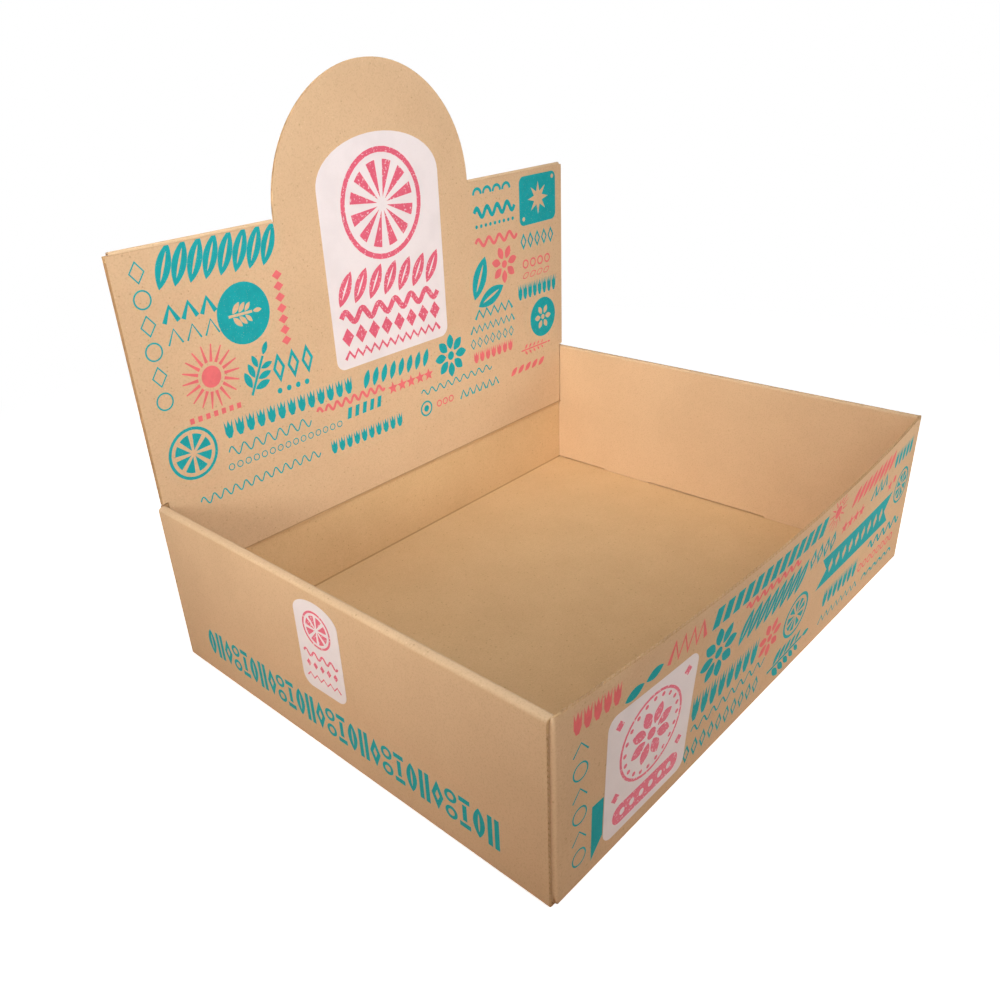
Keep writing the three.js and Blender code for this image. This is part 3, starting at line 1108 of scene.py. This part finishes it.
class BOX_OT_header_print(bpy.types.Operator):
    """Print the header and the strip of tuck flap below it"""
    bl_idname = "box.header_print"
    bl_label = "Header print"

    def execute(self, context):
        shoulder = CREASE_Z - 0.4 * MM
        for name, shapes, body, finish in (
                ("header_print_teal", header_teal(), "header_panel", "flexo_ink_teal"),
                ("header_print_coral", header_coral(), "header_panel", "flexo_ink_coral"),
                ("tuck_print_teal", tuck_teal(), "tuck_flap", "flexo_ink_teal"),
                ("tuck_print_coral", tuck_coral(), "tuck_flap", "flexo_ink_coral")):
            print_piece(name, shapes, on_flat_front(HEADER_LOW.y), body, finish, clip=shoulder)
        return {"FINISHED"}


class BOX_OT_tray_print(bpy.types.Operator):
    """Print the bulging front wall and the border along the left side wall"""
    bl_idname = "box.tray_print"
    bl_label = "Tray print"

    def execute(self, context):
        rim = WALL_TOP - 1.2 * MM
        for name, shapes, finish in (("front_print_teal", front_teal(), "flexo_ink_teal"),
                                     ("front_print_coral", front_coral(), "flexo_ink_coral")):
            print_piece(name, shapes, on_bowed_front(0), "tray", finish, BOW_CELL, rim)
        place = on_left(TRAY_LOW.x)
        print_piece("side_print_teal", side_band(), place, "tray", "flexo_ink_teal")
        return {"FINISHED"}


def header_label_print(left, right, bottom, top):
    """Pink print for the header label, between its edges in millimetres."""
    cx = (left + right) / 2
    return [
        *citrus(cx, top - 45, 36, 12, 3.6),
        *row(cx - 46, cx + 36, 13.6, leaf, bottom + 43, 25, 9.6, 60, True),
        *wave(cx - 46, bottom + 35, 92, 7.5, 15.3, 4.2),
        *row(cx - 42, cx + 43, 12, lozenge, bottom + 21.5, 10.4, 13),
        *zigzag(cx - 46, bottom + 9, 92, 5, 7.7, 2.4),
    ]


def side_label_print(centre):
    """Pink print for the side label, round its middle height in millimetres."""
    return [
        *citrus(0, centre + 12, 11.5, 8, 1.3),
        *wave(-14, centre - 6, 28, 3.4, 7, 1.4),
        *row(-11.2, 12, 5.6, lozenge, centre - 13, 3.8, 5),
        *zigzag(-14, centre - 21, 28, 3, 5.6, 1.1),
    ]


def front_label_print(left, bottom):
    """Pink print for the front label, from its lower left corner in millimetres."""
    cx, cy = left + 35, bottom + 46
    shapes = ring(cx, cy, 25, 1.6) + flower(cx, cy, 17, 8, 22.5)
    for x, y in arc(cx, cy, 21, 0, math.tau, 20)[:-1]:
        shapes += disc(x, y, 1.3)
    for sx in (-1, 1):
        for sy in (-1, 1):
            shapes += lozenge(cx + sx * 26.5, cy + sy * 22, 6.5, 6.5)
    motif = outlines(row(cx - 20, cx + 21, 8, disc, bottom + 11, 2.1))
    return shapes + rounded(left + 7, bottom + 5, 56, 12, 5.9, motif)


class BOX_OT_labels(bpy.types.Operator):
    """Finish the three paper labels and print them"""
    bl_idname = "box.labels"
    bl_label = "Labels"

    def execute(self, context):
        for name in ("header_label", "side_label", "front_label"):
            mesh = frame["nodes"][name].data
            mesh.materials.clear()
            mesh.materials.append(material_named("label_paper_white"))
        finish = "label_ink_pink"

        low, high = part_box("header_label")
        shapes = header_label_print(low.x / MM, high.x / MM, low.z / MM, high.z / MM)
        print_piece("header_label_print", shapes, on_flat_front(low.y), "header_panel", finish)

        low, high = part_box("side_label")
        shapes = side_label_print((low.z + high.z) / 2 / MM)
        print_piece("side_label_print", shapes, on_left(low.x), "tray", finish)

        low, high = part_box("front_label")
        shapes = front_label_print(low.x / MM, low.z / MM)
        proud = 0.26 * MM
        place = on_bowed_front(proud)
        print_piece("front_label_print", shapes, place, "tray", finish, BOW_CELL)
        return {"FINISHED"}


# Stage

def area_light(name, place, target, size, power, spread=180, colour=(1, 1, 1)):
    """A square soft light; spread is its opening angle in degrees."""
    data = bpy.data.lights.new(name, "AREA")
    data.size = size
    data.energy = power
    data.color = colour
    data.spread = math.radians(spread)
    light = new_object(name, data)
    light.location = place
    light.rotation_mode = "QUATERNION"
    light.rotation_quaternion = (Vector(target) - light.location).to_track_quat("-Z", "Y")


def seen_directly(tree):
    """1 for what the camera, a gloss or clear material sees, and 0 for light falling on things."""
    path = node(tree, "ShaderNodeLightPath").outputs
    first = maths(tree, "MAXIMUM", path["Is Camera Ray"], path["Is Glossy Ray"])
    return maths(tree, "MAXIMUM", first, path["Is Transmission Ray"])


def floor_material():
    """Pale studio sweep: white to the camera with the object's shadow on it, warm where it bounces."""
    material, tree, place = new_material("studio_floor_paper")
    seen = seen_directly(tree)
    warm_bounce = linear("#D2A87E")
    lift = 0.72
    colour = mixed(tree, seen, warm_bounce, WHITE)
    shader = node(tree, "ShaderNodeBsdfPrincipled",
                  {"Base Color": colour, "Roughness": 0.9, "Specular IOR Level": 0.1,
                   "Emission Color": WHITE, "Emission Strength": maths(tree, "MULTIPLY", seen, lift)})
    # Far from the box the sweep is plain white, so that it has no horizon
    white = node(tree, "ShaderNodeEmission", {"Strength": 1.0})
    away = node(tree, "ShaderNodeVectorMath", {0: place}, operation="LENGTH").outputs["Value"]
    far = maths(tree, "MULTIPLY", ramp(tree, away, 0.35, 0.8), seen)
    both = node(tree, "ShaderNodeMixShader", {0: far, 1: shader.outputs["BSDF"], 2: white.outputs[0]})
    node(tree, "ShaderNodeOutputMaterial", {"Surface": both.outputs[0]})
    return material


class BOX_OT_stage(bpy.types.Operator):
    """Set the floor, the soft lights and the camera at the photograph's viewpoint"""
    bl_idname = "box.stage"
    bl_label = "Stage"

    def execute(self, context):
        scene = context.scene
        stage = scene.box_stage
        scene.view_settings.view_transform = "Standard"

        # Viewpoint from the fit of the box's corners in the photograph
        focal_px = 885.4
        centre_px = (450.4, 514.6)
        right = Vector((0.69454, -0.71668, -0.06318))
        down = Vector((-0.37048, -0.28099, -0.88532))
        forward = Vector((0.61674, 0.6383, -0.46067))
        camera_data = bpy.data.cameras.new("viewpoint")
        camera = new_object("viewpoint", camera_data)
        turn = Matrix((right, -down, -forward)).transposed()
        camera.matrix_world = Matrix.Translation((-0.4104, -0.3181, 0.3427)) @ turn.to_4x4()
        camera_data.sensor_width = 36
        camera_data.lens = focal_px / PHOTO_SIZE * camera_data.sensor_width
        camera_data.shift_x = (PHOTO_SIZE / 2 - centre_px[0]) / PHOTO_SIZE
        camera_data.shift_y = (centre_px[1] - PHOTO_SIZE / 2) / PHOTO_SIZE
        camera_data.clip_start = 0.01
        scene.camera = camera

        half_width, below = 6, 0.2 * MM
        bm = bmesh.new()
        bmesh.ops.create_grid(bm, x_segments=1, y_segments=1, size=half_width)
        floor = object_from(bm, "studio_floor")
        floor.data.transform(Matrix.Translation((0, 0, -below)))
        floor.data.materials.append(floor_material())

        world = bpy.data.worlds.new("studio")
        world.use_nodes = True
        tree = world.node_tree
        tree.nodes.clear()
        strength = node(tree, "ShaderNodeMix", {"Factor": seen_directly(tree), 2: stage.ambient, 3: 1.0})
        background = node(tree, "ShaderNodeBackground", {"Color": WHITE, "Strength": strength.outputs[0]})
        node(tree, "ShaderNodeOutputWorld", {"Surface": background.outputs[0]})
        scene.world = world

        centre = (0, 0.05, 0.1)
        warm = (1, 0.94, 0.87)
        area_light("front", (-0.1, -0.9, 1.1), centre, 0.7, stage.front)
        area_light("back_left", (-1.0, 0.8, 0.7), centre, 0.7, stage.back_left, colour=warm)
        area_light("front_left", (-1.0, -0.7, 0.7), centre, 0.7, stage.front_left, colour=warm)
        area_light("behind", (0.5, 1.4, 0.7), centre, 0.7, stage.behind)
        area_light("right_beam", (0.5, -0.75, 0.22), (0.16, -0.15, 0.05), 0.25, stage.right_beam, 40, warm)
        area_light("above", (-0.15, -0.05, 0.6), (0, 0.12, 0.1), 0.3, stage.above)
        area_light("left_beam", (-1.0, -0.2, 0.5), (0.1, 0.13, 0.17), 0.3, stage.left_beam, 40, warm)
        area_light("front_beam", (0.0, -0.9, 0.62), (0.0, 0.15, 0.2), 0.3, stage.front_beam, 40)
        return {"FINISHED"}


class BOX_PT_panel(bpy.types.Panel):
    """Lists the box's pieces and its stage"""
    bl_label = "Display box"
    bl_idname = "BOX_PT_panel"
    bl_space_type = "VIEW_3D"
    bl_region_type = "UI"
    bl_category = "Display box"

    def draw(self, context):
        for settings in ("box_board", "box_print", "box_label", "box_stage"):
            group = getattr(context.scene, settings)
            for name in group.bl_rna.properties.keys():
                if name not in ("rna_type", "name"):
                    self.layout.prop(group, name)
        for operator in OPERATORS:
            self.layout.operator(operator.bl_idname)


OPERATORS = (BOX_OT_stage, BOX_OT_tray, BOX_OT_lid, BOX_OT_folds, BOX_OT_labels, BOX_OT_header_print,
             BOX_OT_tray_print)
SETTINGS = {"box_board": BoardSettings, "box_print": PrintSettings, "box_label": LabelSettings,
            "box_stage": StageSettings}


def register():
    for cls in (*SETTINGS.values(), *OPERATORS, BOX_PT_panel):
        bpy.utils.register_class(cls)
    for name, group in SETTINGS.items():
        setattr(bpy.types.Scene, name, bpy.props.PointerProperty(type=group))


def unregister():
    for name in SETTINGS:
        delattr(bpy.types.Scene, name)
    for cls in reversed((*SETTINGS.values(), *OPERATORS, BOX_PT_panel)):
        bpy.utils.unregister_class(cls)


def main():
    register()
    bpy.ops.box.stage()
    bpy.ops.box.tray()
    bpy.ops.box.lid()
    bpy.ops.box.folds()
    bpy.ops.box.labels()
    bpy.ops.box.header_print()
    bpy.ops.box.tray_print()


if __name__ == "__main__":
    main()
